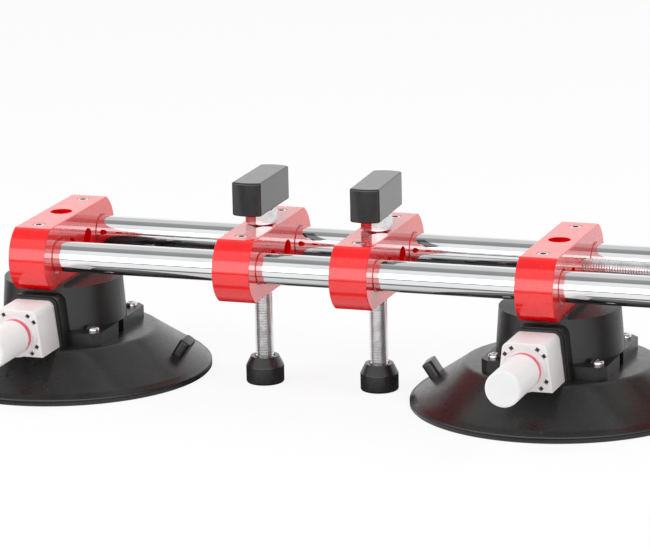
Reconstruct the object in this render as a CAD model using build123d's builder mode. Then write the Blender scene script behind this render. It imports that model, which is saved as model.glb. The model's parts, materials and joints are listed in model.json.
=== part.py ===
from build123d import *
import math
import os

# Stone-slab seam setter: two hand-pumped vacuum cups hang under a pair of round rods.
# The left cup is fixed, a screw draws the right cup along the rods, and two levelling
# screws between the cups press down on the slabs. All sizes are in millimetres.
#
# X runs along the rods (the drive handle is at +X), Y across them (the pumps face -Y) and
# Z up. The origin is at the bottom centre of the whole object, on the work surface.

os.makedirs("parts", exist_ok=True)

# ---- fits and clearances ------------------------------------------------------------
RUNNING = 0.05          # radial clearance where a shaft turns or slides in its bore
LOOSE = 0.25            # radial clearance of a plain hole round a fastener
SEATED = 0.05           # radial clearance where one piece is pressed or moulded into another
FACE_GAP = 0.1          # axial clearance between faces that turn past each other

# ---- rods and the five blocks that ride on them ------------------------------------
ROD_D = 20.0
ROD_SPACING = 76.0      # between the two rod axes
ROD_OVERHANG = 3.0      # rod end beyond the outermost block
ROD_END_CHAMFER = 1.0

BLOCK_LENGTH = 25.0     # along the rods
BLOCK_HEIGHT = 41.0
BLOCK_END_R = 23.25     # rounded front and back, about each rod axis
BLOCK_EDGE_R = 0.6
ROD_BORE_CHAMFER = 1.2
CROSS_HOLE_D = 12.5     # two plain holes along X between the rods
CROSS_HOLE_Y = 14.0     # their distance from the middle of the block
CROSS_HOLE_CHAMFER = 0.5

CUP_SPACING = 340.0     # between the two cup centres, with the cups drawn together
LEFT_LEVEL_GAP = 43.6   # from each pad's rim to the levelling screw beside it
RIGHT_LEVEL_GAP = 25.1
DRIVE_TRAVEL = 70.0     # how far the right cup can be moved out

# ---- fasteners ----------------------------------------------------------------------
SET_SCREW_D = 8.0       # M8 hex socket set screws that lock the blocks on the rods
SET_SCREW_SUNK = 0.1    # top of the screw below the top of the block
SET_SCREW_SOCKET = 4.0  # across flats
SET_SCREW_SOCKET_DEPTH = 4.5
SET_SCREW_CHAMFER = 0.5

BOLT_D = 8.0            # M8 cap screw that holds a cup under its block
BOLT_HEAD_D = 13.0
BOLT_HEAD_H = 8.0
BOLT_SOCKET = 6.0
BOLT_SOCKET_DEPTH = 4.0
BOLT_HEAD_CHAMFER = 0.6
BOLT_FLOOR = 14.0       # metal left under the head of the cap screw
BOLT_COUNTERBORE_D = 14.5
INSERT_D = 12.0         # brass insert that takes the cap screw
INSERT_H = 7.0

FLANGE_SCREW_D = 4.0
FLANGE_SCREW_HEAD_D = 8.4
FLANGE_SCREW_HEAD_H = 2.6
FLANGE_SCREW_DOME_R = 1.8       # rounding of the head
FLANGE_SCREW_CROSS = 1.1        # width of the cross slots in the head
FLANGE_SCREW_CROSS_LENGTH = 4.6
FLANGE_SCREW_CROSS_DEPTH = 1.2

# ---- M12 spindles: two levelling screws and the drive screw ------------------------
SPINDLE_D = 12.0
SPINDLE_CHAMFER = 1.0
NUT_ACROSS_FLATS = 18.0
NUT_H = 10.0
NUT_GAP = 0.5           # nut above the face of its block, screwed right home
HANDLE_LENGTH = 60.0
HANDLE_WIDTH = 19.6
HANDLE_DEPTH = 22.0     # along the spindle
HANDLE_END_R = 20.0     # bulge of the two ends
HANDLE_CORNER_R = 2.0
HANDLE_EDGE_R = 1.2
HANDLE_SOCKET = 16.0    # how far the spindle reaches into the handle
RIGHT_HANDLE_TURN = 2.5 # degrees that the right levelling handle has been turned

FOOT_D = 24.8
FOOT_COLLAR_H = 11.4    # height of the cylindrical part
FOOT_TOP_D = 18.4
FOOT_H = 18.0
FOOT_EDGE_R = 1.6
FOOT_SHOULDER_R = 0.8
FOOT_RECESS_GAP = 0.6   # round the spindle, in the top of the foot
FOOT_FLOOR = 4.5        # rubber under the end of the spindle
BUSH_D = 15.0           # steel bush in the foot
BUSH_H = 4.0
SPIGOT_D = 8.0          # turned-down end of the spindle, inside the bush
SPIGOT_GROOVE_DEPTH = 1.0       # groove for the clip
CLIP_D = 12.0
CLIP_H = 0.9
CLIP_OPENING = 2.7
CLIP_SPACE = 1.5        # height of the pocket that the clip turns in

COLLAR_D = 22.0         # shaft collar inside the drive block
COLLAR_LENGTH = 8.0
WASHER_D = 20.0
WASHER_H = 0.8
DRIVE_CLEARANCE = 1.0   # right cup's block to the shaft collar, cup right out

# ---- suction pad --------------------------------------------------------------------
PAD_R = 96.4
PAD_HEIGHT = 28.3
PAD_TOP_R = 61.0
PAD_SKIRT_SAG = 3.4     # how far the skirt hollows below a straight cone
PAD_LIP_H = 5.0
PAD_LIP_WIDTH = 8.0     # flat sealing lip
PAD_HOLLOW_H = 19.0
PAD_HOLLOW_TOP_R = 58.0
PAD_HOLLOW_STEP = (4.0, 5.0)    # inner bevel of the lip: inwards, up
PAD_EDGE_R = 1.5
TAB_ALONG = 0.55        # release tab, as a share of the way down the skirt
LEFT_TAB_ANGLE = 1.8    # degrees round from +X
RIGHT_TAB_ANGLE = 185.8
TAB_LEAN = 33.0         # degrees outwards from upright
TAB_WIDTH = 16.0
TAB_THICKNESS = 7.5
TAB_HEIGHT = 10.5
TAB_ROOT = 3.0          # part of the tab that is inside the rubber
TAB_CORNER_R = 2.6
TAB_EDGE_R = 1.2

# ---- cup housing --------------------------------------------------------------------
FLANGE_HALF_X = 41.0
FLANGE_HALF_Y = 42.8
FLANGE_H = 7.8
FLANGE_CORNER = 5.0
FLANGE_SCREW_INSET = (7.5, 8.8)
NOTCH_WIDTH = 9.0       # cut-out in the middle of each side of the flange
NOTCH_DEPTH = 3.0
NOTCH_Y = -3.5
TOWER_DRAFT = 2.0       # how much narrower the tower is at the top than at the flange
TOWER_WALL = 6.0
TOWER_CEILING = 4.2
LAND_H = 1.3            # raised land that the block sits on
RIDGE_WIDTH = 2.2       # the two ridges that stop the block turning
RIDGE_H = 1.5
RIDGE_GAP = 0.3
HOOD_REACH = 53.0       # front of the arch over the pump, from the cup's centre
HOOD_WALL = 1.6
HOOD_RIB = 1.0          # the bead round the arch
HOOD_RIB_LENGTH = 2.0
HOOD_RIB_SETBACK = 2.5
PLATE_H = 3.0           # steel plate moulded into the top of the pad
PLATE_MARGIN = 1.0
DUCT_D = 3.6            # air duct from the pad to the pump
DUCT_SETBACK = 0.4      # duct from the end wall of the valve's pocket
CORE_WALL = 1.8         # between the pump's arch and the pockets beside it

# ---- hand pump (distances along the pump are from the cup's centre, forwards) -------
BARREL_R = 13.6
BARREL_WALL = 1.3
BARREL_FLOOR = 1.0      # housing under the barrel
BARREL_ROOF = 8.8       # housing over the barrel, up to the block
BARREL_REAR = -8.0
BARREL_END_WALL = 3.0
PORT_D = 4.0
PUMP_REAR = 46.2
PUMP_FACE = 82.0
PUMP_TOP = 2.9          # body above the top of the barrel
PUMP_BOTTOM = 0.4       # body below the bottom of the barrel
PUMP_TOP_SIDE = 0.5     # half-width at the top, more than the barrel's radius
PUMP_BOTTOM_SIDE = 4.1
PUMP_SHOULDER_R = 4.5
PUMP_EDGE_R = 0.8
PUMP_COLLAR_DEPTH = 5.0
PUMP_COLLAR_PROUD = 0.8
PUMP_COLLAR_MARGIN = 0.8
PUMP_NOTCH_REACH = 2.4  # notches in the body round the collar, outwards from the collar
PUMP_NOTCH_WIDTH = 2.6
PUMP_NOTCH_DEPTH = 4.5
PUMP_NOTCH_PAIRS = (47.0, 133.0, 217.0, 323.0)  # where each pair of notches is, in degrees
PUMP_NOTCH_SPREAD = 10.5        # of each notch from the middle of its pair
PLUNGER_GAP = 0.8       # radial space between the plunger and the barrel's bore
PLUNGER_END = 130.0
PLUNGER_END_R = 1.5
PLUNGER_WALL = 2.0
PLUNGER_CAVITY_END = 96.0
PISTON_REAR = 40.0
PISTON_LENGTH = 10.0
SEAL_FROM = 3.0         # seal groove, from the back of the piston
SEAL_WIDTH = 3.0
SEAL_DEPTH = 2.0
BAND_AT = 84.4
BAND_WIDTH = 4.4
BAND_DEPTH = 0.8
SPRING_GAP = 0.7        # radial space between the spring and the plunger
SPRING_WALL = 1.2
VALVE_PORT_D = 2.0
VALVE_R = 6.2
VALVE_H = 4.0
VALVE_SPACE = 8.6       # length of the pocket behind the barrel

# ---- heights ------------------------------------------------------------------------
PUMP_Z = PAD_HEIGHT + BARREL_FLOOR + SEATED + BARREL_R
SEAT_Z = PUMP_Z + BARREL_R + SEATED + BARREL_ROOF
ROD_Z = SEAT_Z + BLOCK_HEIGHT / 2
BLOCK_TOP = ROD_Z + BLOCK_HEIGHT / 2
FLANGE_TOP = PAD_HEIGHT + FLANGE_H
TOWER_TOP = SEAT_Z - LAND_H
PLATE_Z = PAD_HEIGHT - PLATE_H

# ---- the object's place about its own origin ----------------------------------------
DRIVE_BLOCK_REACH = (
    CUP_SPACING / 2 + BLOCK_LENGTH + DRIVE_TRAVEL + DRIVE_CLEARANCE
    + COLLAR_LENGTH + WASHER_H + 2 * FACE_GAP
)
DRIVE_END = DRIVE_BLOCK_REACH + BLOCK_LENGTH / 2 + NUT_GAP + WASHER_H + NUT_H + HANDLE_DEPTH
MID_X = (CUP_SPACING / 2 + PAD_R - DRIVE_END) / 2
MID_Y = (PLUNGER_END - PAD_R) / 2

LEFT_CUP_X = MID_X - CUP_SPACING / 2
RIGHT_CUP_X = MID_X + CUP_SPACING / 2
LEFT_LEVEL_X = LEFT_CUP_X + PAD_R + LEFT_LEVEL_GAP
RIGHT_LEVEL_X = RIGHT_CUP_X - PAD_R - RIGHT_LEVEL_GAP
DRIVE_BLOCK_X = MID_X + DRIVE_BLOCK_REACH
DRIVE_Y = MID_Y + CROSS_HOLE_Y
BLOCK_BORE_R = ROD_D / 2 + RUNNING
SPINDLE_BORE_R = SPINDLE_D / 2 + RUNNING
TOWER_BASE_R = FLANGE_HALF_X
TOWER_TOP_R = TOWER_BASE_R - TOWER_DRAFT
CORE_HALF = BARREL_R + SEATED + HOOD_WALL + CORE_WALL
DUCT_Y = MID_Y - BARREL_REAR + VALVE_SPACE - DUCT_D / 2 - DUCT_SETBACK


def save(piece, name):
    """Label a finished piece and write it to its own file."""
    piece.part.label = name
    export_step(piece.part, f"parts/{name}.step")


def upright(x, z):
    """A plane with its normal up, over the rods' middle line, whose x runs along Y."""
    return Plane(origin=(x, MID_Y, z), x_dir=(0, 1, 0), z_dir=(0, 0, 1))


def axial_section(frame):
    """The plane of half a turned profile: its x is the radius, its y runs along the frame's axis."""
    return Plane(origin=frame.origin, x_dir=frame.x_dir, z_dir=-frame.y_dir)


def turned(frame, outline):
    """A piece turned about the frame's z axis, from (radius, height) points."""
    with BuildPart() as piece:
        with BuildSketch(axial_section(frame)):
            with BuildLine():
                Polyline(*outline, close=True)
            make_face()
        revolve(axis=Axis(frame.origin, frame.z_dir))
    return piece


def circles_of(piece, radius):
    """The circular edges of one radius."""
    return piece.edges().filter_by(GeomType.CIRCLE).filter_by(lambda edge: abs(edge.radius - radius) < 1e-4)


# ---- rods ---------------------------------------------------------------------------
def rod(side):
    left = LEFT_CUP_X - BLOCK_LENGTH / 2 - ROD_OVERHANG
    right = DRIVE_BLOCK_X + BLOCK_LENGTH / 2 + ROD_OVERHANG
    with BuildPart() as bar:
        with BuildSketch(Plane.YZ.offset(left)):
            with Locations((MID_Y + side * ROD_SPACING / 2, ROD_Z)):
                Circle(ROD_D / 2)
        extrude(amount=right - left)
        chamfer(bar.edges().filter_by(GeomType.CIRCLE), ROD_END_CHAMFER)
    return bar


# ---- blocks -------------------------------------------------------------------------
def block(x, spindle_hole_y=None):
    """A block as it is sawn from the bar and bored; one cross hole may be tapped for the drive screw."""
    section = Plane.YZ.offset(x - BLOCK_LENGTH / 2)
    rod_places = [(MID_Y + side * ROD_SPACING / 2, ROD_Z) for side in (-1, 1)]
    with BuildPart() as body:
        with BuildSketch(section):
            with Locations((MID_Y, ROD_Z)):
                SlotCenterToCenter(ROD_SPACING, 2 * BLOCK_END_R)
                Rectangle(ROD_SPACING + 2 * BLOCK_END_R, BLOCK_HEIGHT, mode=Mode.INTERSECT)
        extrude(amount=BLOCK_LENGTH)
        fillet(body.faces().filter_by(Axis.X).edges(), BLOCK_EDGE_R)
        with BuildSketch(section):
            with Locations(*rod_places):
                Circle(BLOCK_BORE_R)
        extrude(amount=BLOCK_LENGTH, mode=Mode.SUBTRACT)
        chamfer(circles_of(body, BLOCK_BORE_R), ROD_BORE_CHAMFER)
        for side in (-1, 1):
            tapped = side * CROSS_HOLE_Y == spindle_hole_y
            radius = SPINDLE_BORE_R if tapped else CROSS_HOLE_D / 2
            with BuildSketch(section):
                with Locations((MID_Y + side * CROSS_HOLE_Y, ROD_Z)):
                    Circle(radius)
            extrude(amount=BLOCK_LENGTH, mode=Mode.SUBTRACT)
        chamfer(circles_of(body, CROSS_HOLE_D / 2), CROSS_HOLE_CHAMFER)
        with BuildSketch(Plane.XY.offset(ROD_Z)):
            with Locations(*[(x, y) for y, _ in rod_places]):
                Circle(SET_SCREW_D / 2 + RUNNING)
        extrude(amount=BLOCK_HEIGHT / 2, mode=Mode.SUBTRACT)
    return body


def level_block(x):
    """A block tapped through from top to bottom for a levelling screw."""
    blank = block(x)
    with BuildPart() as body:
        add(blank.part)
        with BuildSketch(Plane.XY.offset(SEAT_Z)):
            with Locations((x, MID_Y)):
                Circle(SPINDLE_BORE_R)
        extrude(amount=BLOCK_HEIGHT, mode=Mode.SUBTRACT)
    return body


def cup_block(x, spindle_hole_y=None):
    """A block counterbored from above for the cap screw that holds a cup."""
    blank = block(x, spindle_hole_y)
    with BuildPart() as body:
        add(blank.part)
        with BuildSketch(Plane.XY.offset(SEAT_Z)):
            with Locations((x, MID_Y)):
                Circle(BOLT_D / 2 + LOOSE)
        extrude(amount=BLOCK_HEIGHT, mode=Mode.SUBTRACT)
        with BuildSketch(Plane.XY.offset(SEAT_Z + BOLT_FLOOR)):
            with Locations((x, MID_Y)):
                Circle(BOLT_COUNTERBORE_D / 2)
        extrude(amount=BLOCK_HEIGHT - BOLT_FLOOR, mode=Mode.SUBTRACT)
    return body


def set_screws(x):
    """The two screws that lock one block on the rods."""
    bottom = ROD_Z + ROD_D / 2 + FACE_GAP
    top = BLOCK_TOP - SET_SCREW_SUNK
    with BuildPart() as screws:
        for side in (-1, 1):
            with BuildSketch(Plane.XY.offset(bottom)):
                with Locations((x, MID_Y + side * ROD_SPACING / 2)):
                    Circle(SET_SCREW_D / 2)
            extrude(amount=top - bottom)
        chamfer(circles_of(screws, SET_SCREW_D / 2), SET_SCREW_CHAMFER)
        with BuildSketch(Plane.XY.offset(top)):
            with Locations(*[(x, MID_Y + side * ROD_SPACING / 2) for side in (-1, 1)]):
                RegularPolygon(SET_SCREW_SOCKET / 2, 6, major_radius=False)
        extrude(amount=-SET_SCREW_SOCKET_DEPTH, mode=Mode.SUBTRACT)
    return screws


# ---- spindles, nuts and handles -----------------------------------------------------
def spindle_nut(frame):
    """A hex nut above the frame's plane, with its corners turned off at both ends."""
    corner_r = NUT_ACROSS_FLATS / math.sqrt(3)
    bevel = corner_r - NUT_ACROSS_FLATS / 2
    with BuildPart() as nut:
        with BuildSketch(frame):
            RegularPolygon(NUT_ACROSS_FLATS / 2, 6, major_radius=False)
        extrude(amount=NUT_H)
        with BuildSketch(axial_section(frame)):
            with BuildLine():
                Polyline(
                    (SPINDLE_BORE_R, 0),
                    (corner_r - bevel, 0),
                    (corner_r, bevel / 2),
                    (corner_r, NUT_H - bevel / 2),
                    (corner_r - bevel, NUT_H),
                    (SPINDLE_BORE_R, NUT_H),
                    close=True,
                )
            make_face()
        revolve(axis=Axis(frame.origin, frame.z_dir), mode=Mode.INTERSECT)
    return nut


def handle(frame, turn=0.0):
    """A T-handle bar with bulging ends, on the frame's plane, with a socket for the spindle."""
    half_length = HANDLE_LENGTH / 2
    half_width = HANDLE_WIDTH / 2
    corner = half_length - HANDLE_END_R + math.sqrt(HANDLE_END_R**2 - half_width**2)
    with BuildPart() as bar:
        with BuildSketch(frame.rotated((0, 0, turn))) as outline:
            with BuildLine():
                Line((-corner, -half_width), (corner, -half_width))
                ThreePointArc((corner, -half_width), (half_length, 0), (corner, half_width))
                Line((corner, half_width), (-corner, half_width))
                ThreePointArc((-corner, half_width), (-half_length, 0), (-corner, -half_width))
            make_face()
            fillet(outline.vertices(), HANDLE_CORNER_R)
        extrude(amount=HANDLE_DEPTH)
        fillet(bar.faces().filter_by(Axis(frame.origin, frame.z_dir)).edges(), HANDLE_EDGE_R)
        with BuildSketch(frame):
            Circle(SPINDLE_D / 2 + SEATED)
        extrude(amount=HANDLE_SOCKET + FACE_GAP, mode=Mode.SUBTRACT)
    return bar


NUT_Z = BLOCK_TOP + NUT_GAP
HANDLE_Z = NUT_Z + NUT_H
CLIP_Z = FOOT_FLOOR + (CLIP_SPACE - CLIP_H) / 2
BUSH_Z = FOOT_FLOOR + CLIP_SPACE
SHOULDER_Z = BUSH_Z + BUSH_H + FACE_GAP


def level_screw(x):
    """The levelling spindle, turned down at its foot to a spigot with a groove for the clip."""
    spigot_r = SPIGOT_D / 2
    groove_r = spigot_r - SPIGOT_GROOVE_DEPTH
    return turned(upright(x, 0), [
        (0, FOOT_FLOOR + FACE_GAP),
        (spigot_r, FOOT_FLOOR + FACE_GAP),
        (spigot_r, CLIP_Z - SEATED),
        (groove_r, CLIP_Z - SEATED),
        (groove_r, CLIP_Z + CLIP_H + SEATED),
        (spigot_r, CLIP_Z + CLIP_H + SEATED),
        (spigot_r, SHOULDER_Z),
        (SPINDLE_D / 2 - SPINDLE_CHAMFER, SHOULDER_Z),
        (SPINDLE_D / 2, SHOULDER_Z + SPINDLE_CHAMFER),
        (SPINDLE_D / 2, HANDLE_Z + HANDLE_SOCKET - SPINDLE_CHAMFER),
        (SPINDLE_D / 2 - SPINDLE_CHAMFER, HANDLE_Z + HANDLE_SOCKET),
        (0, HANDLE_Z + HANDLE_SOCKET),
    ])


def foot(x):
    """Rubber foot: a cylinder with a tapered top, hollow for the bush, the clip and the spindle."""
    pocket_r = BUSH_D / 2 + SEATED
    recess_r = SPINDLE_D / 2 + FOOT_RECESS_GAP
    shape = turned(upright(x, 0), [
        (0, 0),
        (FOOT_D / 2, 0),
        (FOOT_D / 2, FOOT_COLLAR_H),
        (FOOT_TOP_D / 2, FOOT_H),
        (recess_r, FOOT_H),
        (recess_r, BUSH_Z + BUSH_H),
        (pocket_r, BUSH_Z + BUSH_H),
        (pocket_r, BUSH_Z),
        (CLIP_D / 2 + FACE_GAP, BUSH_Z),
        (CLIP_D / 2 + FACE_GAP, FOOT_FLOOR),
        (0, FOOT_FLOOR),
    ])
    with BuildPart() as rubber:
        add(shape.part)
        fillet(circles_of(rubber, FOOT_D / 2).sort_by(Axis.Z)[0], FOOT_EDGE_R)
        fillet(circles_of(rubber, FOOT_D / 2).sort_by(Axis.Z)[-1], FOOT_SHOULDER_R)
    return rubber


def ring(frame, inner_r, outer_r, height):
    """A plain ring that stands on the frame's plane."""
    with BuildPart() as piece:
        with BuildSketch(frame):
            Circle(outer_r)
            Circle(inner_r, mode=Mode.SUBTRACT)
        extrude(amount=height)
    return piece


def clip(x):
    """Retaining clip under the bush: a ring with one gap."""
    with BuildPart() as piece:
        with BuildSketch(upright(x, CLIP_Z)):
            Circle(CLIP_D / 2)
            Circle(SPIGOT_D / 2 - SPIGOT_GROOVE_DEPTH + SEATED, mode=Mode.SUBTRACT)
            Rectangle(CLIP_D, CLIP_OPENING, align=(Align.MIN, Align.CENTER), mode=Mode.SUBTRACT)
        extrude(amount=CLIP_H)
    return piece


# ---- drive screw --------------------------------------------------------------------
def drive_frame(x):
    """A plane across the drive screw, with its normal along +X."""
    return Plane(origin=(x, DRIVE_Y, ROD_Z), x_dir=(0, 0, 1), z_dir=(1, 0, 0))


DRIVE_OUTER_X = DRIVE_BLOCK_X + BLOCK_LENGTH / 2
DRIVE_INNER_X = DRIVE_BLOCK_X - BLOCK_LENGTH / 2
DRIVE_NUT_X = DRIVE_OUTER_X + NUT_GAP + WASHER_H
DRIVE_HANDLE_X = DRIVE_NUT_X + NUT_H
DRIVE_COLLAR_X = DRIVE_INNER_X - 2 * FACE_GAP - WASHER_H - COLLAR_LENGTH
# One spindle diameter of thread is in the right cup's block when the cups are drawn together.
DRIVE_TIP_X = RIGHT_CUP_X + BLOCK_LENGTH / 2 - SPINDLE_D


def drive_screw():
    length = DRIVE_HANDLE_X + HANDLE_SOCKET - DRIVE_TIP_X
    with BuildPart() as spindle:
        with BuildSketch(drive_frame(DRIVE_TIP_X)):
            Circle(SPINDLE_D / 2)
        extrude(amount=length)
        chamfer(spindle.edges().filter_by(GeomType.CIRCLE), SPINDLE_CHAMFER)
    return spindle


def drive_washers():
    """A washer on each side of the drive block."""
    with BuildPart() as washers:
        for x in (DRIVE_INNER_X - FACE_GAP - WASHER_H, DRIVE_OUTER_X + FACE_GAP):
            with BuildSketch(drive_frame(x)):
                Circle(WASHER_D / 2)
                Circle(SPINDLE_BORE_R, mode=Mode.SUBTRACT)
            extrude(amount=WASHER_H)
    return washers


# ---- suction cup --------------------------------------------------------------------
def flange_outline(margin=0.0):
    """The flange's square with its corners cut off, smaller all round by a margin."""
    half_x = FLANGE_HALF_X - margin
    half_y = FLANGE_HALF_Y - margin
    with BuildSketch() as outline:
        Rectangle(2 * half_x, 2 * half_y)
        chamfer(outline.vertices(), FLANGE_CORNER)
    return outline.sketch


def flange_screw_places(x):
    half_x = FLANGE_HALF_X - FLANGE_SCREW_INSET[0]
    half_y = FLANGE_HALF_Y - FLANGE_SCREW_INSET[1]
    return [(x + i * half_x, MID_Y + j * half_y) for i in (-1, 1) for j in (-1, 1)]


def suction_pad(x, tab_angle):
    """Rubber pad: flat top, hollowed skirt, flat sealing lip, hollow underneath, and a release tab."""
    frame = upright(x, 0)
    hollow_r = PAD_R - PAD_LIP_WIDTH
    step_in, step_up = PAD_HOLLOW_STEP
    with BuildPart() as skirt:
        with BuildSketch(axial_section(frame)):
            with BuildLine():
                slope = SagittaArc((PAD_TOP_R, PAD_HEIGHT), (PAD_R, PAD_LIP_H), -PAD_SKIRT_SAG)
                Polyline(
                    (PAD_R, PAD_LIP_H),
                    (PAD_R, 0),
                    (hollow_r, 0),
                    (hollow_r - step_in, step_up),
                    (PAD_HOLLOW_TOP_R, PAD_HOLLOW_H),
                    (0, PAD_HOLLOW_H),
                    (0, PAD_HEIGHT),
                    (PAD_TOP_R, PAD_HEIGHT),
                )
            make_face()
        revolve(axis=Axis(frame.origin, frame.z_dir))
        fillet(circles_of(skirt, PAD_TOP_R), PAD_EDGE_R)
        fillet(circles_of(skirt, PAD_R).sort_by(Axis.Z)[-1], PAD_EDGE_R)
    tab_foot = slope @ TAB_ALONG
    turn = math.radians(tab_angle)
    lean = math.radians(TAB_LEAN)
    outward = Vector(math.cos(turn), math.sin(turn), 0)
    tab_plane = Plane(
        origin=Vector(x, MID_Y, tab_foot.Y) + outward * tab_foot.X,
        x_dir=(-math.sin(turn), math.cos(turn), 0),
        z_dir=outward * math.sin(lean) + Vector(0, 0, math.cos(lean)),
    )
    with BuildPart() as tab:
        with BuildSketch(tab_plane.offset(-TAB_ROOT)):
            RectangleRounded(TAB_WIDTH, TAB_THICKNESS, TAB_CORNER_R)
        extrude(amount=TAB_HEIGHT + TAB_ROOT)
        fillet(tab.faces().sort_by(Axis(tab_plane.origin, tab_plane.z_dir))[-1].edges(), TAB_EDGE_R)
    with BuildPart() as pad:
        add(skirt.part)
        add(tab.part)
        with BuildSketch(Plane.XY.offset(PLATE_Z)):
            with Locations((x, MID_Y)):
                add(flange_outline(PLATE_MARGIN - SEATED))
        extrude(amount=PLATE_H, mode=Mode.SUBTRACT)
        with BuildSketch(Plane.XY):
            with Locations((x, DUCT_Y)):
                Circle(DUCT_D / 2)
        extrude(amount=PAD_HEIGHT, mode=Mode.SUBTRACT)
    return pad


def clamp_plate(x):
    """Steel plate in the top of the pad, tapped for the four flange screws."""
    with BuildPart() as plate:
        with BuildSketch(Plane.XY.offset(PLATE_Z)):
            with Locations((x, MID_Y)):
                add(flange_outline(PLATE_MARGIN))
            with Locations(*flange_screw_places(x)):
                Circle(FLANGE_SCREW_D / 2 + SEATED, mode=Mode.SUBTRACT)
            with Locations((x, DUCT_Y)):
                Circle(DUCT_D / 2, mode=Mode.SUBTRACT)
        extrude(amount=PLATE_H)
    return plate


def flange_screws(x):
    """Four cross-head screws with domed heads."""
    with BuildPart() as screws:
        with BuildSketch(Plane.XY.offset(PLATE_Z)):
            with Locations(*flange_screw_places(x)):
                Circle(FLANGE_SCREW_D / 2)
        extrude(amount=PLATE_H + FLANGE_H)
        with BuildSketch(Plane.XY.offset(FLANGE_TOP)):
            with Locations(*flange_screw_places(x)):
                Circle(FLANGE_SCREW_HEAD_D / 2)
        extrude(amount=FLANGE_SCREW_HEAD_H)
        head_tops = screws.faces().filter_by(Axis.Z).group_by(Axis.Z)[-1]
        fillet(head_tops.edges(), FLANGE_SCREW_DOME_R)
        with BuildSketch(Plane.XY.offset(FLANGE_TOP + FLANGE_SCREW_HEAD_H)):
            with Locations(*flange_screw_places(x)):
                Rectangle(FLANGE_SCREW_CROSS_LENGTH, FLANGE_SCREW_CROSS)
                Rectangle(FLANGE_SCREW_CROSS, FLANGE_SCREW_CROSS_LENGTH)
        extrude(amount=-FLANGE_SCREW_CROSS_DEPTH, mode=Mode.SUBTRACT)
    return screws


def pump_plane(x, distance):
    """A plane across the pump, facing forwards; its x runs along X and its y up, from the pump's axis."""
    return Plane(origin=(x, MID_Y - distance, PUMP_Z), x_dir=(1, 0, 0), z_dir=(0, -1, 0))


def pump_section(margin=0.0, foot_drop=0.0):
    """The pump body's outline: flat bottom, leaning sides and rounded shoulders."""
    lean = (PUMP_BOTTOM_SIDE - PUMP_TOP_SIDE) / (2 * BARREL_R + PUMP_TOP + PUMP_BOTTOM)
    bottom = -(BARREL_R + PUMP_BOTTOM) - foot_drop
    top = BARREL_R + PUMP_TOP + margin
    half_bottom = BARREL_R + PUMP_BOTTOM_SIDE + margin + lean * foot_drop
    half_top = BARREL_R + PUMP_TOP_SIDE + margin - lean * margin
    with BuildSketch() as section:
        with BuildLine():
            Polyline(
                (-half_bottom, bottom),
                (half_bottom, bottom),
                (half_top, top),
                (-half_top, top),
                close=True,
            )
        make_face()
        fillet(section.vertices().group_by(Axis.Y)[-1], PUMP_SHOULDER_R + margin)
    return section.sketch


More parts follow.
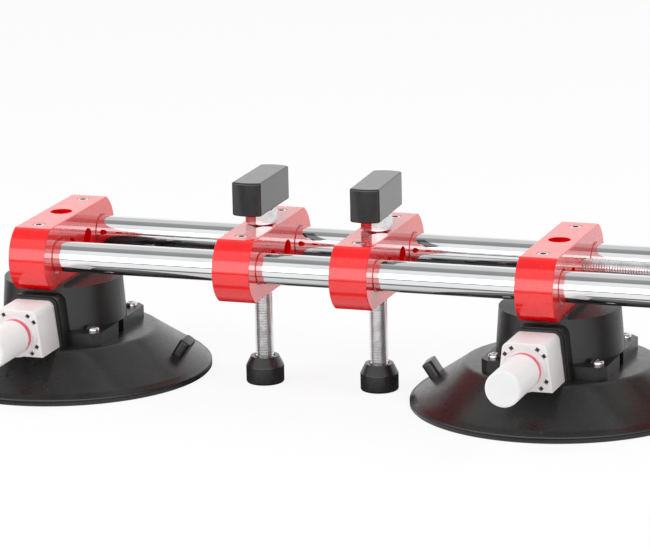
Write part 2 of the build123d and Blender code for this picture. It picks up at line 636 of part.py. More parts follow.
def cup_housing(x):
    """Moulded housing: flange, drafted tower with the block's seat, and the arch over the pump."""
    arch_drop = BARREL_FLOOR + SEATED - PUMP_BOTTOM
    with BuildPart() as housing:
        with BuildSketch(Plane.XY.offset(PAD_HEIGHT)):
            with Locations((x, MID_Y)):
                add(flange_outline())
            with Locations((x - FLANGE_HALF_X, MID_Y + NOTCH_Y), (x + FLANGE_HALF_X, MID_Y + NOTCH_Y)):
                Rectangle(2 * NOTCH_DEPTH, NOTCH_WIDTH, mode=Mode.SUBTRACT)
        extrude(amount=FLANGE_H)
        # tower
        with BuildSketch(Plane.XY.offset(FLANGE_TOP)):
            with Locations((x, MID_Y)):
                Circle(TOWER_BASE_R)
        with BuildSketch(Plane.XY.offset(TOWER_TOP)):
            with Locations((x, MID_Y)):
                Circle(TOWER_TOP_R)
        loft()
        # arch over the pump, with a bead round it
        with BuildSketch(pump_plane(x, 0)):
            add(pump_section(HOOD_WALL, arch_drop))
        extrude(amount=HOOD_REACH)
        with BuildSketch(pump_plane(x, HOOD_REACH - HOOD_RIB_SETBACK - HOOD_RIB_LENGTH)):
            add(pump_section(HOOD_WALL + HOOD_RIB, arch_drop))
        extrude(amount=HOOD_RIB_LENGTH)
        # land and ridges for the block
        land_half = BLOCK_LENGTH / 2 + RIDGE_GAP + RIDGE_WIDTH
        with BuildSketch(Plane.XY.offset(TOWER_TOP)):
            with Locations((x, MID_Y)):
                Circle(TOWER_TOP_R)
                Rectangle(2 * land_half, 2 * TOWER_TOP_R, mode=Mode.INTERSECT)
        extrude(amount=LAND_H)
        with BuildSketch(Plane.XY.offset(SEAT_Z)):
            with Locations((x, MID_Y)):
                Circle(TOWER_TOP_R)
                Rectangle(2 * land_half, 2 * TOWER_TOP_R, mode=Mode.INTERSECT)
                Rectangle(2 * (land_half - RIDGE_WIDTH), 2 * TOWER_TOP_R, mode=Mode.SUBTRACT)
        extrude(amount=RIDGE_H)
        # cored out on both sides of the pump
        with BuildSketch(Plane.XY.offset(PAD_HEIGHT)):
            with Locations((x, MID_Y)):
                Circle(TOWER_BASE_R - TOWER_WALL)
                Rectangle(2 * CORE_HALF, 2 * TOWER_BASE_R, mode=Mode.SUBTRACT)
        extrude(amount=TOWER_TOP - TOWER_CEILING - PAD_HEIGHT, mode=Mode.SUBTRACT)
        # mouth of the arch, open at the bottom
        with BuildSketch(pump_plane(x, PUMP_REAR - FACE_GAP)):
            add(pump_section(SEATED, arch_drop + BARREL_FLOOR))
        extrude(amount=HOOD_REACH - PUMP_REAR + FACE_GAP, mode=Mode.SUBTRACT)
        # bore for the barrel, pocket for the valve, and the duct down to the pad
        with BuildSketch(pump_plane(x, BARREL_REAR - FACE_GAP)):
            Circle(BARREL_R + SEATED)
        extrude(amount=HOOD_REACH - BARREL_REAR, mode=Mode.SUBTRACT)
        with BuildSketch(pump_plane(x, BARREL_REAR - VALVE_SPACE)):
            Circle(VALVE_R + SEATED)
        extrude(amount=VALVE_SPACE, mode=Mode.SUBTRACT)
        with BuildSketch(Plane.XY.offset(PAD_HEIGHT)):
            with Locations((x, DUCT_Y)):
                Circle(DUCT_D / 2)
        extrude(amount=PUMP_Z - PAD_HEIGHT, mode=Mode.SUBTRACT)
        # holes for the insert and the flange screws
        with BuildSketch(Plane.XY.offset(SEAT_Z - INSERT_H)):
            with Locations((x, MID_Y)):
                Circle(INSERT_D / 2 + SEATED)
        extrude(amount=INSERT_H, mode=Mode.SUBTRACT)
        with BuildSketch(Plane.XY.offset(PAD_HEIGHT)):
            with Locations(*flange_screw_places(x)):
                Circle(FLANGE_SCREW_D / 2 + SEATED)
        extrude(amount=FLANGE_H, mode=Mode.SUBTRACT)
    return housing


def mount_bolt(x):
    """Cap screw through the block into the housing's insert."""
    head_z = SEAT_Z + BOLT_FLOOR
    tip_z = SEAT_Z - INSERT_H + FACE_GAP
    with BuildPart() as bolt:
        with BuildSketch(Plane.XY.offset(tip_z)):
            with Locations((x, MID_Y)):
                Circle(BOLT_D / 2)
        extrude(amount=head_z - tip_z)
        with BuildSketch(Plane.XY.offset(head_z)):
            with Locations((x, MID_Y)):
                Circle(BOLT_HEAD_D / 2)
        extrude(amount=BOLT_HEAD_H)
        chamfer(circles_of(bolt, BOLT_HEAD_D / 2).sort_by(Axis.Z)[-1], BOLT_HEAD_CHAMFER)
        with BuildSketch(Plane.XY.offset(head_z + BOLT_HEAD_H)):
            with Locations((x, MID_Y)):
                RegularPolygon(BOLT_SOCKET / 2, 6, major_radius=False)
        extrude(amount=-BOLT_SOCKET_DEPTH, mode=Mode.SUBTRACT)
    return bolt


# ---- hand pump ----------------------------------------------------------------------
BARREL_BORE_R = BARREL_R - BARREL_WALL
PISTON_R = BARREL_BORE_R - RUNNING
PLUNGER_R = BARREL_BORE_R - PLUNGER_GAP
SPRING_R = PLUNGER_R - PLUNGER_WALL - SPRING_GAP
PUMP_COLLAR_R = BARREL_R + PUMP_COLLAR_MARGIN
PUMP_COLLAR_FROM = PUMP_FACE - PUMP_COLLAR_DEPTH


def pump_body(x):
    """White body with notches round its collar and, behind it, the barrel that goes into the housing."""
    with BuildPart() as body:
        with BuildSketch(pump_plane(x, PUMP_REAR)):
            add(pump_section())
        extrude(amount=PUMP_FACE - PUMP_REAR)
        fillet(body.faces().sort_by(Axis.Y)[0].edges(), PUMP_EDGE_R)
        with BuildSketch(pump_plane(x, BARREL_REAR)):
            Circle(BARREL_R)
        extrude(amount=PUMP_REAR - BARREL_REAR)
        with BuildSketch(pump_plane(x, BARREL_REAR + BARREL_END_WALL)):
            Circle(BARREL_BORE_R)
        extrude(amount=PUMP_FACE - BARREL_REAR, mode=Mode.SUBTRACT)
        with BuildSketch(pump_plane(x, PUMP_COLLAR_FROM)):
            Circle(PUMP_COLLAR_R + SEATED)
        extrude(amount=PUMP_COLLAR_DEPTH, mode=Mode.SUBTRACT)
        with BuildSketch(pump_plane(x, BARREL_REAR)):
            Circle(PORT_D / 2)
        extrude(amount=BARREL_END_WALL, mode=Mode.SUBTRACT)
        with BuildSketch(pump_plane(x, PUMP_FACE - PUMP_NOTCH_DEPTH)):
            for middle in PUMP_NOTCH_PAIRS:
                for spread in (-PUMP_NOTCH_SPREAD, PUMP_NOTCH_SPREAD):
                    with PolarLocations(PUMP_COLLAR_R, 1, start_angle=middle + spread):
                        Rectangle(2 * PUMP_NOTCH_REACH, PUMP_NOTCH_WIDTH)
        extrude(amount=PUMP_NOTCH_DEPTH, mode=Mode.SUBTRACT)
    return body


def pump_collar(x):
    """Ring in the body's face that guides the plunger and keeps the piston in."""
    return ring(pump_plane(x, PUMP_COLLAR_FROM), PLUNGER_R + RUNNING, PUMP_COLLAR_R,
                PUMP_COLLAR_DEPTH + PUMP_COLLAR_PROUD)


def plunger(x):
    """White plunger, hollow for the spring, with a piston at its inner end."""
    seal_from = PISTON_REAR + SEAL_FROM
    seal_to = seal_from + SEAL_WIDTH
    band_to = BAND_AT + BAND_WIDTH
    piston_front = PISTON_REAR + PISTON_LENGTH
    inner_r = PLUNGER_R - PLUNGER_WALL
    shape = turned(pump_plane(x, 0), [
        (inner_r, PISTON_REAR),
        (PISTON_R, PISTON_REAR),
        (PISTON_R, seal_from),
        (PISTON_R - SEAL_DEPTH, seal_from),
        (PISTON_R - SEAL_DEPTH, seal_to),
        (PISTON_R, seal_to),
        (PISTON_R, piston_front),
        (PLUNGER_R, piston_front),
        (PLUNGER_R, BAND_AT),
        (PLUNGER_R - BAND_DEPTH, BAND_AT),
        (PLUNGER_R - BAND_DEPTH, band_to),
        (PLUNGER_R, band_to),
        (PLUNGER_R, PLUNGER_END),
        (0, PLUNGER_END),
        (0, PLUNGER_CAVITY_END),
        (inner_r, PLUNGER_CAVITY_END),
    ])
    with BuildPart() as knob:
        add(shape.part)
        fillet(circles_of(knob, PLUNGER_R).sort_by(Axis.Y)[0], PLUNGER_END_R)
    return knob


def pump(side, x):
    """The pump's pieces, named for their side."""
    save(pump_body(x), f"{side}_pump_body")
    save(pump_collar(x), f"{side}_pump_collar")
    save(plunger(x), f"{side}_plunger")
    band = ring(pump_plane(x, BAND_AT + SEATED), PLUNGER_R - BAND_DEPTH + SEATED, PLUNGER_R,
                BAND_WIDTH - 2 * SEATED)
    save(band, f"{side}_plunger_band")
    seal = ring(pump_plane(x, PISTON_REAR + SEAL_FROM + SEATED), PISTON_R - SEAL_DEPTH + SEATED,
                PISTON_R, SEAL_WIDTH - 2 * SEATED)
    save(seal, f"{side}_piston_seal")
    spring_from = BARREL_REAR + BARREL_END_WALL + FACE_GAP
    spring = ring(pump_plane(x, spring_from), SPRING_R - SPRING_WALL, SPRING_R,
                  PLUNGER_CAVITY_END - FACE_GAP - spring_from)
    save(spring, f"{side}_pump_spring")
    valve = ring(pump_plane(x, BARREL_REAR - FACE_GAP - VALVE_H), VALVE_PORT_D / 2, VALVE_R, VALVE_H)
    save(valve, f"{side}_check_valve")


def cup(side, x, tab_angle):
    """One complete cup under its block."""
    save(suction_pad(x, tab_angle), f"{side}_suction_pad")
    save(clamp_plate(x), f"{side}_clamp_plate")
    save(cup_housing(x), f"{side}_cup_housing")
    save(flange_screws(x), f"{side}_flange_screws")
    insert = ring(Plane(origin=(x, MID_Y, SEAT_Z - INSERT_H)), BOLT_D / 2 + SEATED, INSERT_D / 2, INSERT_H)
    save(insert, f"{side}_mount_insert")
    save(mount_bolt(x), f"{side}_mount_bolt")
    pump(side, x)


def leveller(side, x, turn=0.0):
    """One levelling screw in its block, with its nut, handle and foot."""
    save(level_block(x), f"{side}_level_block")
    save(set_screws(x), f"{side}_level_set_screws")
    save(level_screw(x), f"{side}_level_screw")
    save(spindle_nut(upright(x, NUT_Z)), f"{side}_level_nut")
    save(handle(upright(x, HANDLE_Z), turn), f"{side}_level_handle")
    save(foot(x), f"{side}_level_foot")
    save(ring(upright(x, BUSH_Z), SPIGOT_D / 2 + RUNNING, BUSH_D / 2, BUSH_H), f"{side}_foot_bush")
    save(clip(x), f"{side}_foot_clip")


# ---- the whole object ---------------------------------------------------------------
save(rod(-1), "front_rod")
save(rod(1), "rear_rod")

save(cup_block(LEFT_CUP_X), "left_end_block")
save(set_screws(LEFT_CUP_X), "left_end_set_screws")
save(cup_block(RIGHT_CUP_X, CROSS_HOLE_Y), "right_slide_block")
save(set_screws(RIGHT_CUP_X), "right_slide_set_screws")
save(block(DRIVE_BLOCK_X, CROSS_HOLE_Y), "drive_end_block")
save(set_screws(DRIVE_BLOCK_X), "drive_end_set_screws")

save(drive_screw(), "drive_screw")
save(ring(drive_frame(DRIVE_COLLAR_X), SPINDLE_BORE_R, COLLAR_D / 2, COLLAR_LENGTH), "drive_collar")
save(drive_washers(), "drive_washers")
save(spindle_nut(drive_frame(DRIVE_NUT_X)), "drive_nut")
save(handle(drive_frame(DRIVE_HANDLE_X)), "drive_handle")

leveller("left", LEFT_LEVEL_X)
leveller("right", RIGHT_LEVEL_X, RIGHT_HANDLE_TURN)

cup("left", LEFT_CUP_X, LEFT_TAB_ANGLE)
cup("right", RIGHT_CUP_X, RIGHT_TAB_ANGLE)
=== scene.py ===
import json
import math
import bmesh
import bpy
from mathutils import Matrix, Vector


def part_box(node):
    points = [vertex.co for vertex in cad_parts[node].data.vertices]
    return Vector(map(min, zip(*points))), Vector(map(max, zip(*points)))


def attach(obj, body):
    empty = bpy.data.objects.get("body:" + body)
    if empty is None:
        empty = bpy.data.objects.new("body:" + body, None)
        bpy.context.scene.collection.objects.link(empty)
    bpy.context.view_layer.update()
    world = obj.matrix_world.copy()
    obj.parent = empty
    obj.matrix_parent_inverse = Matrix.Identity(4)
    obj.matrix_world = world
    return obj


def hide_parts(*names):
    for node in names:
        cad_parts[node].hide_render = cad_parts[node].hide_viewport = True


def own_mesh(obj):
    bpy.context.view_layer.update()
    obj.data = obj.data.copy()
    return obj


# Looks for a stone-slab seam setter: two vacuum cups under a pair of chrome rods, red blocks,
# levelling screws with T-handles, and a drive screw. All lengths are in metres.

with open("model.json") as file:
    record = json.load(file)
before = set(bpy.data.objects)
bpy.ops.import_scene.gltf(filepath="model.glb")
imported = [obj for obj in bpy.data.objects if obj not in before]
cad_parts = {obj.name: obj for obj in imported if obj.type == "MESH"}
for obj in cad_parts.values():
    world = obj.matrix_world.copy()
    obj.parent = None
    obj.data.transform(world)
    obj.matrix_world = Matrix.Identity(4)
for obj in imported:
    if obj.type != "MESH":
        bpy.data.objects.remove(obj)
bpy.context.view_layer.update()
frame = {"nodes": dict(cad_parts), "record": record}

MM = 0.001
SIDES = ("left", "right")

# Places that the whole scene is laid out from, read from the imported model.
ROD_LOW, ROD_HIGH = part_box("front_rod")
_, REAR_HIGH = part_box("rear_rod")
ROD_Z = (ROD_LOW.z + ROD_HIGH.z) / 2
MID_Y = (ROD_LOW.y + REAR_HIGH.y) / 2
CUP_X = {side: sum(corner.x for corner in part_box(f"{side}_cup_housing")) / 2 for side in SIDES}
LEVEL_X = {side: sum(corner.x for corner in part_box(f"{side}_level_block")) / 2 for side in SIDES}
MID_X = (CUP_X["left"] + CUP_X["right"]) / 2
PAD_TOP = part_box("left_cup_housing")[0].z
PAD_R = (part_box("left_suction_pad")[1].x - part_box("left_suction_pad")[0].x) / 2


# ---- camera -------------------------------------------------------------------------
CAMERA_LENS = 226.13            # millimetres on a 36 mm sensor
CAMERA_DISTANCE = 2.6368
CAMERA_YAW = 0.334              # radians round to the right of square-on
CAMERA_PITCH = 0.2415           # radians above the horizon
CAMERA_ROLL = -0.022
AIM = Vector((MID_X + 12.7 * MM, MID_Y, ROD_Z - 11.8 * MM))


def make_camera():
    data = bpy.data.cameras.new("camera")
    data.lens = CAMERA_LENS
    data.sensor_width = 36.0
    data.clip_start = 0.05
    data.clip_end = 30.0
    camera = bpy.data.objects.new("camera", data)
    bpy.context.collection.objects.link(camera)
    level = math.cos(CAMERA_PITCH)
    forward = Vector((-math.sin(CAMERA_YAW) * level, math.cos(CAMERA_YAW) * level, -math.sin(CAMERA_PITCH)))
    right = Vector((math.cos(CAMERA_YAW), math.sin(CAMERA_YAW), 0))
    up = right.cross(forward)
    rolled_right = math.cos(CAMERA_ROLL) * right + math.sin(CAMERA_ROLL) * up
    rolled_up = math.cos(CAMERA_ROLL) * up - math.sin(CAMERA_ROLL) * right
    place = Matrix((rolled_right, rolled_up, -forward)).transposed().to_4x4()
    place.translation = AIM - forward * CAMERA_DISTANCE
    camera.matrix_world = place
    bpy.context.scene.camera = camera


# ---- shader helpers -----------------------------------------------------------------
def add_node(tree, kind, inputs=None, **settings):
    """A node with its settings, and its inputs given as values or as sockets to link."""
    node = tree.nodes.new(kind)
    for name, value in settings.items():
        setattr(node, name, value)
    for name, value in (inputs or {}).items():
        if isinstance(value, bpy.types.NodeSocket):
            tree.links.new(value, node.inputs[name])
        else:
            node.inputs[name].default_value = value
    return node


def ramp_node(tree, factor, stops):
    """A colour ramp from (position, grey or colour) stops; gives its colour socket."""
    node = add_node(tree, "ShaderNodeValToRGB", {"Fac": factor})
    ramp = node.color_ramp
    while len(ramp.elements) < len(stops):
        ramp.elements.new(0.5)
    for element, (position, colour) in zip(ramp.elements, stops):
        element.position = position
        element.color = (colour, colour, colour, 1) if isinstance(colour, (int, float)) else (*colour, 1)
    return node.outputs["Color"]


COLOUR_SPAN = (0.35, 0.65)      # part of a noise pattern that the base colour runs over
ROUGHNESS_SPAN = (0.3, 0.7)     # and the roughness


class Finish:
    """A material with one Principled surface, and short ways to give it surface detail."""

    def __init__(self, name, **inputs):
        self.material = bpy.data.materials.new(name)
        self.material.use_nodes = True
        self.tree = self.material.node_tree
        self.surface = self.tree.nodes["Principled BSDF"]
        for key, value in inputs.items():
            self.surface.inputs[key.replace("_", " ")].default_value = value
        self.coords = add_node(self.tree, "ShaderNodeTexCoord").outputs["Object"]
        self.normal = None

    def stretched(self, scale):
        """Coordinates scaled per axis, for grain that runs one way."""
        mapping = add_node(self.tree, "ShaderNodeMapping", {"Vector": self.coords, "Scale": scale})
        return mapping.outputs["Vector"]

    def noise(self, scale, detail=2.0, vector=None):
        inputs = {"Vector": vector or self.coords, "Scale": scale, "Detail": detail}
        return add_node(self.tree, "ShaderNodeTexNoise", inputs).outputs["Fac"]

    def colour(self, factor, low, high):
        """Base colour that runs between two colours over a pattern."""
        socket = ramp_node(self.tree, factor, list(zip(COLOUR_SPAN, (low, high))))
        self.tree.links.new(socket, self.surface.inputs["Base Color"])
        return self

    def roughness(self, factor, low, high):
        """Roughness that runs between two values over a pattern."""
        start, end = ROUGHNESS_SPAN
        inputs = {"Value": factor, "From Min": start, "From Max": end, "To Min": low, "To Max": high}
        node = add_node(self.tree, "ShaderNodeMapRange", inputs)
        self.tree.links.new(node.outputs["Result"], self.surface.inputs["Roughness"])
        return self

    def bump(self, height, distance, strength):
        """Relief of a given depth; several are laid over each other."""
        inputs = {"Height": height, "Distance": distance, "Strength": strength}
        if self.normal:
            inputs["Normal"] = self.normal
        self.normal = add_node(self.tree, "ShaderNodeBump", inputs).outputs["Normal"]
        self.tree.links.new(self.normal, self.surface.inputs["Normal"])
        return self

    def on_coat(self):
        """Let the clear coat follow the relief too."""
        self.tree.links.new(self.normal, self.surface.inputs["Coat Normal"])
        return self


# ---- studio -------------------------------------------------------------------------
FLOOR_HALF = 12.0
FLOOR_GREY = 0.9
FLOOR_SHADOW = 0.13             # how much of its real shading the camera sees on the white floor
FLOOR_FRONT = 1.2               # the painted reflection bands start this far in front of the rods,
FLOOR_BACK = 0.8                # and end this far behind them
# Painted reflections and painted shade that shiny surfaces see on the floor, shown to glossy rays only:
# (share of the way from front to back, brightness).
FLOOR_PAINTED_BANDS = [
    (0.00, 2.4),                # lower edge of the painted bright patch on the red fronts
    (0.02, 0.95),
    (0.28, 0.95),
    (0.30, 0.03),               # painted dark reflection on the near ends of the handles
    (0.365, 0.03),
    (0.375, 0.95),
    (0.533, 0.90),
    (0.537, 0.16),              # painted thin dark line along the rods
    (0.547, 0.16),
    (0.551, 0.70),
    (0.575, 0.62),
    (0.592, 0.05),              # painted shade mirrored on the undersides of the rods
    (0.64, 0.05),
    (0.68, 0.90),
    (0.745, 0.90),
    (0.76, 0.15),               # painted dark reflection on the upper sides of the red blocks
    (0.79, 0.15),
    (0.80, 0.90),
]
# Painted reflections from the sky, shown to glossy rays only: 0 is the horizon in front, 0.5 is overhead and
# 1 is the horizon behind.
SKY_PAINTED_BANDS = [
    (0.00, 2.4),                # painted bright patch on the red fronts
    (0.15, 2.4),
    (0.18, 0.85),
    (0.33, 0.90),
    (0.37, 0.28),               # painted grey band near the top of the rods
    (0.54, 0.34),
    (0.57, 0.64),
    (0.78, 0.68),
    (0.84, 1.00),
    (1.00, 1.00),
]
SKY_MATT = 0.62                 # strength of the sky's light on matt surfaces
LAMPS = {                       # place, size, watts
    "key": ((-1.0, -1.2, 1.8), (1.2, 1.2), 26.0),
    "fill": ((1.6, 0.6, 1.5), (1.4, 1.4), 14.0),
}


def make_floor():
    """A pale floor that reads as white and keeps a soft shadow; to glossy rays it shows painted reflection
    bands, which give the chrome its dark bands.
    """
    bpy.ops.mesh.primitive_plane_add(size=2 * FLOOR_HALF, location=(0, 0, 0))
    floor = bpy.context.object
    floor.name = "floor"
    material = bpy.data.materials.new("studio_floor")
    material.use_nodes = True
    tree = material.node_tree
    tree.nodes.clear()
    place = add_node(tree, "ShaderNodeTexCoord").outputs["Object"]
    along_y = add_node(tree, "ShaderNodeSeparateXYZ", {"Vector": place}).outputs["Y"]
    inputs = {"Value": along_y, "From Min": MID_Y - FLOOR_FRONT, "From Max": MID_Y + FLOOR_BACK}
    run = add_node(tree, "ShaderNodeMapRange", inputs).outputs["Result"]
    painted_bands = ramp_node(tree, run, FLOOR_PAINTED_BANDS)
    path = add_node(tree, "ShaderNodeLightPath")
    white = add_node(tree, "ShaderNodeEmission", {"Color": (1, 1, 1, 1), "Strength": 1.0})
    matt = add_node(tree, "ShaderNodeBsdfDiffuse", {"Color": (FLOOR_GREY, FLOOR_GREY, FLOOR_GREY, 1)})
    seen = add_node(tree, "ShaderNodeMixShader",
                    {"Fac": FLOOR_SHADOW, 1: white.outputs[0], 2: matt.outputs[0]})
    # painted reflection: glossy rays see the floor glow in painted bright and dark bands
    painted_reflection = add_node(tree, "ShaderNodeEmission", {"Color": painted_bands, "Strength": 1.0})
    lit = add_node(tree, "ShaderNodeMixShader",
                   {"Fac": path.outputs["Is Camera Ray"], 1: matt.outputs[0], 2: seen.outputs[0]})
    both = add_node(tree, "ShaderNodeMixShader",
                    {"Fac": path.outputs["Is Glossy Ray"], 1: lit.outputs[0], 2: painted_reflection.outputs[0]})
    output = add_node(tree, "ShaderNodeOutputMaterial")
    tree.links.new(both.outputs[0], output.inputs["Surface"])
    floor.data.materials.append(material)


def make_world():
    """White all round for the camera, plain light for matt surfaces, and painted reflection bands for
    mirror-like ones.
    """
    world = bpy.data.worlds.new("studio")
    bpy.context.scene.world = world
    world.use_nodes = True
    tree = world.node_tree
    tree.nodes.clear()
    direction = add_node(tree, "ShaderNodeTexCoord").outputs["Generated"]
    parts = add_node(tree, "ShaderNodeSeparateXYZ", {"Vector": direction}).outputs
    front = add_node(tree, "ShaderNodeMath", {0: parts["Y"], 1: -1.0}, operation="MULTIPLY").outputs[0]
    angle = add_node(tree, "ShaderNodeMath", {0: parts["Z"], 1: front}, operation="ARCTAN2").outputs[0]
    turn = add_node(tree, "ShaderNodeMath", {0: angle, 1: math.pi}, operation="DIVIDE").outputs[0]
    painted_bands = ramp_node(tree, turn, SKY_PAINTED_BANDS)
    path = add_node(tree, "ShaderNodeLightPath")
    matt = add_node(tree, "ShaderNodeBackground", {"Color": (1, 1, 1, 1), "Strength": SKY_MATT})
    # painted reflection: only glossy rays see these sky bands; matt surfaces get plain light
    painted_sky = add_node(tree, "ShaderNodeBackground", {"Color": painted_bands, "Strength": 1.0})
    white = add_node(tree, "ShaderNodeBackground", {"Color": (1, 1, 1, 1), "Strength": 1.0})
    lit = add_node(tree, "ShaderNodeMixShader",
                   {"Fac": path.outputs["Is Glossy Ray"], 1: matt.outputs[0], 2: painted_sky.outputs[0]})
    both = add_node(tree, "ShaderNodeMixShader",
                    {"Fac": path.outputs["Is Camera Ray"], 1: lit.outputs[0], 2: white.outputs[0]})
    output = add_node(tree, "ShaderNodeOutputWorld")
    tree.links.new(both.outputs[0], output.inputs["Surface"])


def area_lamp(name, place, size, watts):
    """A lamp aimed at the object, which no mirror-like surface or camera sees."""
    data = bpy.data.lights.new(name, "AREA")
    data.shape = "RECTANGLE"
    data.size, data.size_y = size
    data.energy = watts
    lamp = bpy.data.objects.new(name, data)
    bpy.context.collection.objects.link(lamp)
    lamp.location = place
    lamp.rotation_euler = (AIM - Vector(place)).to_track_quat("-Z", "Y").to_euler()
    lamp.visible_glossy = False
    lamp.visible_camera = False


def make_lamps():
    for name, (place, size, watts) in LAMPS.items():
        area_lamp(name, place, size, watts)


# ---- materials ----------------------------------------------------------------------
def red_paint():
    finish = Finish("red_paint", Roughness=0.22, Specular_IOR_Level=0.3, Coat_Weight=1.0,
                    Coat_Roughness=0.02, Coat_IOR=1.68)
    blotches = finish.noise(38.0, 3.0)
    finish.colour(blotches, (0.86, 0.0005, 0.002), (0.95, 0.001, 0.004))
    finish.roughness(finish.noise(260.0, 2.0), 0.18, 0.30)
    finish.bump(finish.noise(140.0, 1.0), 0.00003, 0.35)
    return finish.on_coat().material


def chrome():
    finish = Finish("chrome", Metallic=1.0)
    finish.colour(finish.noise(30.0), (0.88, 0.885, 0.90), (0.94, 0.945, 0.95))
    lines = finish.noise(60.0, 3.0, vector=finish.stretched((40.0, 3.0, 3.0)))
    finish.roughness(lines, 0.03, 0.065)
    finish.bump(lines, 0.000003, 0.2)
    return finish.material


def zinc(name, colour, low=0.12, high=0.26, metallic=1.0):
    finish = Finish(name, Metallic=metallic)
    darker = tuple(0.86 * channel for channel in colour)
    finish.colour(finish.noise(220.0, 3.0), darker, colour)
    finish.roughness(finish.noise(500.0, 3.0), low, high)
    finish.bump(finish.noise(700.0, 2.0), 0.000008, 0.3)
    return finish.material


def moulded(name, low, high, rough, grain, depth, **inputs):
    """Moulded plastic or rubber: slight colour drift, fine grain, and broad ripples."""
    finish = Finish(name, **inputs)
    finish.colour(finish.noise(45.0, 4.0), low, high)
    finish.roughness(finish.noise(grain / 4, 3.0), *rough)
    finish.bump(finish.noise(grain, 3.0), depth, 0.4)
    finish.bump(finish.noise(35.0, 1.0), 0.0001, 0.2)
    return finish.material


def grey(value):
    return (value, value, value)


MATERIALS = {
    "red_paint": red_paint(),
    "chrome": chrome(),
    "zinc_steel": zinc("zinc_steel", (0.88, 0.88, 0.89)),
    "threaded_steel": zinc("threaded_steel", (0.93, 0.93, 0.94), 0.10, 0.18, metallic=0.8),
    "spring_steel": zinc("spring_steel", (0.50, 0.50, 0.52)),
    "brass": zinc("brass", (0.80, 0.58, 0.24)),
    "black_plastic": moulded("black_plastic", grey(0.010), grey(0.016), (0.28, 0.38), 1800.0, 0.00003,
                             Specular_IOR_Level=0.55),
    "handle_plastic": moulded("handle_plastic", grey(0.008), grey(0.013), (0.20, 0.26), 1400.0, 0.000006,
                              Coat_Weight=0.5, Coat_Roughness=0.1),
    "white_plastic": moulded("white_plastic", grey(0.85), grey(0.88), (0.34, 0.38), 600.0, 0.000002,
                             Subsurface_Weight=0.05, Subsurface_Radius=(0.002, 0.002, 0.002)),
    "red_band": moulded("red_band", (0.75, 0.06, 0.10), (0.86, 0.12, 0.16), (0.25, 0.35), 900.0, 0.00001),
    "pad_rubber": moulded("pad_rubber", grey(0.010), grey(0.017), (0.26, 0.36), 1100.0, 0.00003,
                          Coat_Weight=0.25, Coat_Roughness=0.2),
    "foot_rubber": moulded("foot_rubber", grey(0.018), grey(0.026), (0.20, 0.30), 1400.0, 0.00002,
                           Coat_Weight=0.3, Coat_Roughness=0.15),
    "seal_rubber": moulded("seal_rubber", grey(0.012), grey(0.02), (0.45, 0.6), 2500.0, 0.00003),
}
SLOT_OF = {row["node"]: row["material_slot"] for row in frame["record"]["subparts"]}


def dress_cad_nodes():
    """Give every carried-over CAD node the finish of its material slot."""
    for name, node in frame["nodes"].items():
        node.data.materials.clear()
        node.data.materials.append(MATERIALS[SLOT_OF[name]])


# ---- mesh helpers -------------------------------------------------------------------
WELD = 1e-7                     # points closer than this are one point
NEAR = 1e-6                     # the same for threads, and for finding top edges
SMOOTH_ANGLE = 35.0             # degrees; sharper edges stay crisp


def make_piece(name, bm, slot, body, *replaced, smooth_angle=SMOOTH_ANGLE):
    """Turn a finished bmesh into a piece that rides on a body and stands for CAD nodes."""
    bmesh.ops.remove_doubles(bm, verts=bm.verts, dist=WELD)
    bmesh.ops.recalc_face_normals(bm, faces=bm.faces)
    mesh = bpy.data.meshes.new(name)
    bm.to_mesh(mesh)
    bm.free()
    mesh.materials.append(MATERIALS[slot])
    mesh.shade_smooth()
    mesh.set_sharp_from_angle(angle=math.radians(smooth_angle))
    piece = bpy.data.objects.new(name, mesh)
    bpy.context.collection.objects.link(piece)
    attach(piece, body)
    if replaced:
        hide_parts(*replaced)
    return piece


def upright_at(x):
    return Matrix.Translation((x, MID_Y, 0))


def absorb(bm, part, place):
    """Put a part in its place, add it to the mesh that is being built, and free it."""
    bmesh.ops.transform(part, matrix=place, verts=part.verts)
    mesh = bpy.data.meshes.new("part")
    part.to_mesh(mesh)
    part.free()
    bm.from_mesh(mesh)
    bpy.data.meshes.remove(mesh)


# ---- threads ------------------------------------------------------------------------
THREAD_PITCH = 1.75 * MM
THREAD_DEPTH = 1.07 * MM
THREAD_STEPS = 40               # per turn
THREAD_SMOOTH_ANGLE = 25.0
# One pitch from crest to crest: (share of the pitch, share of the depth).
THREAD_PROFILE = [(0.0, 0.0), (0.0625, 0.0), (0.4375, 1.0), (0.5625, 1.0), (0.9375, 0.0)]
BUSH_CLEARANCE = 0.1 * MM       # between the foot's bush and the end of the thread


def add_thread(bm, place, low, high, radius):
    """A closed threaded bar from low to high along the place's z axis."""
    turns = math.ceil((high - low) / THREAD_PITCH) + 2
    columns = []
    for step in range(THREAD_STEPS):
        share = step / THREAD_STEPS
        angle = 2 * math.pi * share
        column = []
        for turn in range(-1, turns):
            for offset, depth in THREAD_PROFILE:
                z = low + (turn + offset + share) * THREAD_PITCH
                sunk = depth if low < z < high else 1.0
                r = radius - THREAD_DEPTH * sunk
                z = min(max(z, low), high)
                column.append(bm.verts.new(place @ Vector((r * math.cos(angle), r * math.sin(angle), z))))
        columns.append(column)
    count = len(columns[0])
    for step in range(THREAD_STEPS):
        here = columns[step]
        following = columns[(step + 1) % THREAD_STEPS]
        # The last column meets the first one a pitch further up.
        shift = len(THREAD_PROFILE) if step == THREAD_STEPS - 1 else 0
        for row in range(count - 1 - shift):
            corners = [here[row], following[row + shift], following[row + 1 + shift], here[row + 1]]
            if len({tuple(round(c, 9) for c in vert.co) for vert in corners}) > 2:
                bm.faces.new(corners)
    bmesh.ops.remove_doubles(bm, verts=bm.verts, dist=NEAR)
    loose = [edge for edge in bm.edges if len(edge.link_faces) == 1]
    bmesh.ops.holes_fill(bm, edges=loose)


def threaded_rod(name, body, node, place, low, high, radius):
    bm = bmesh.new()
    add_thread(bm, place, low, high, radius)
    return make_piece(name, bm, "threaded_steel", body, node, smooth_angle=THREAD_SMOOTH_ANGLE)


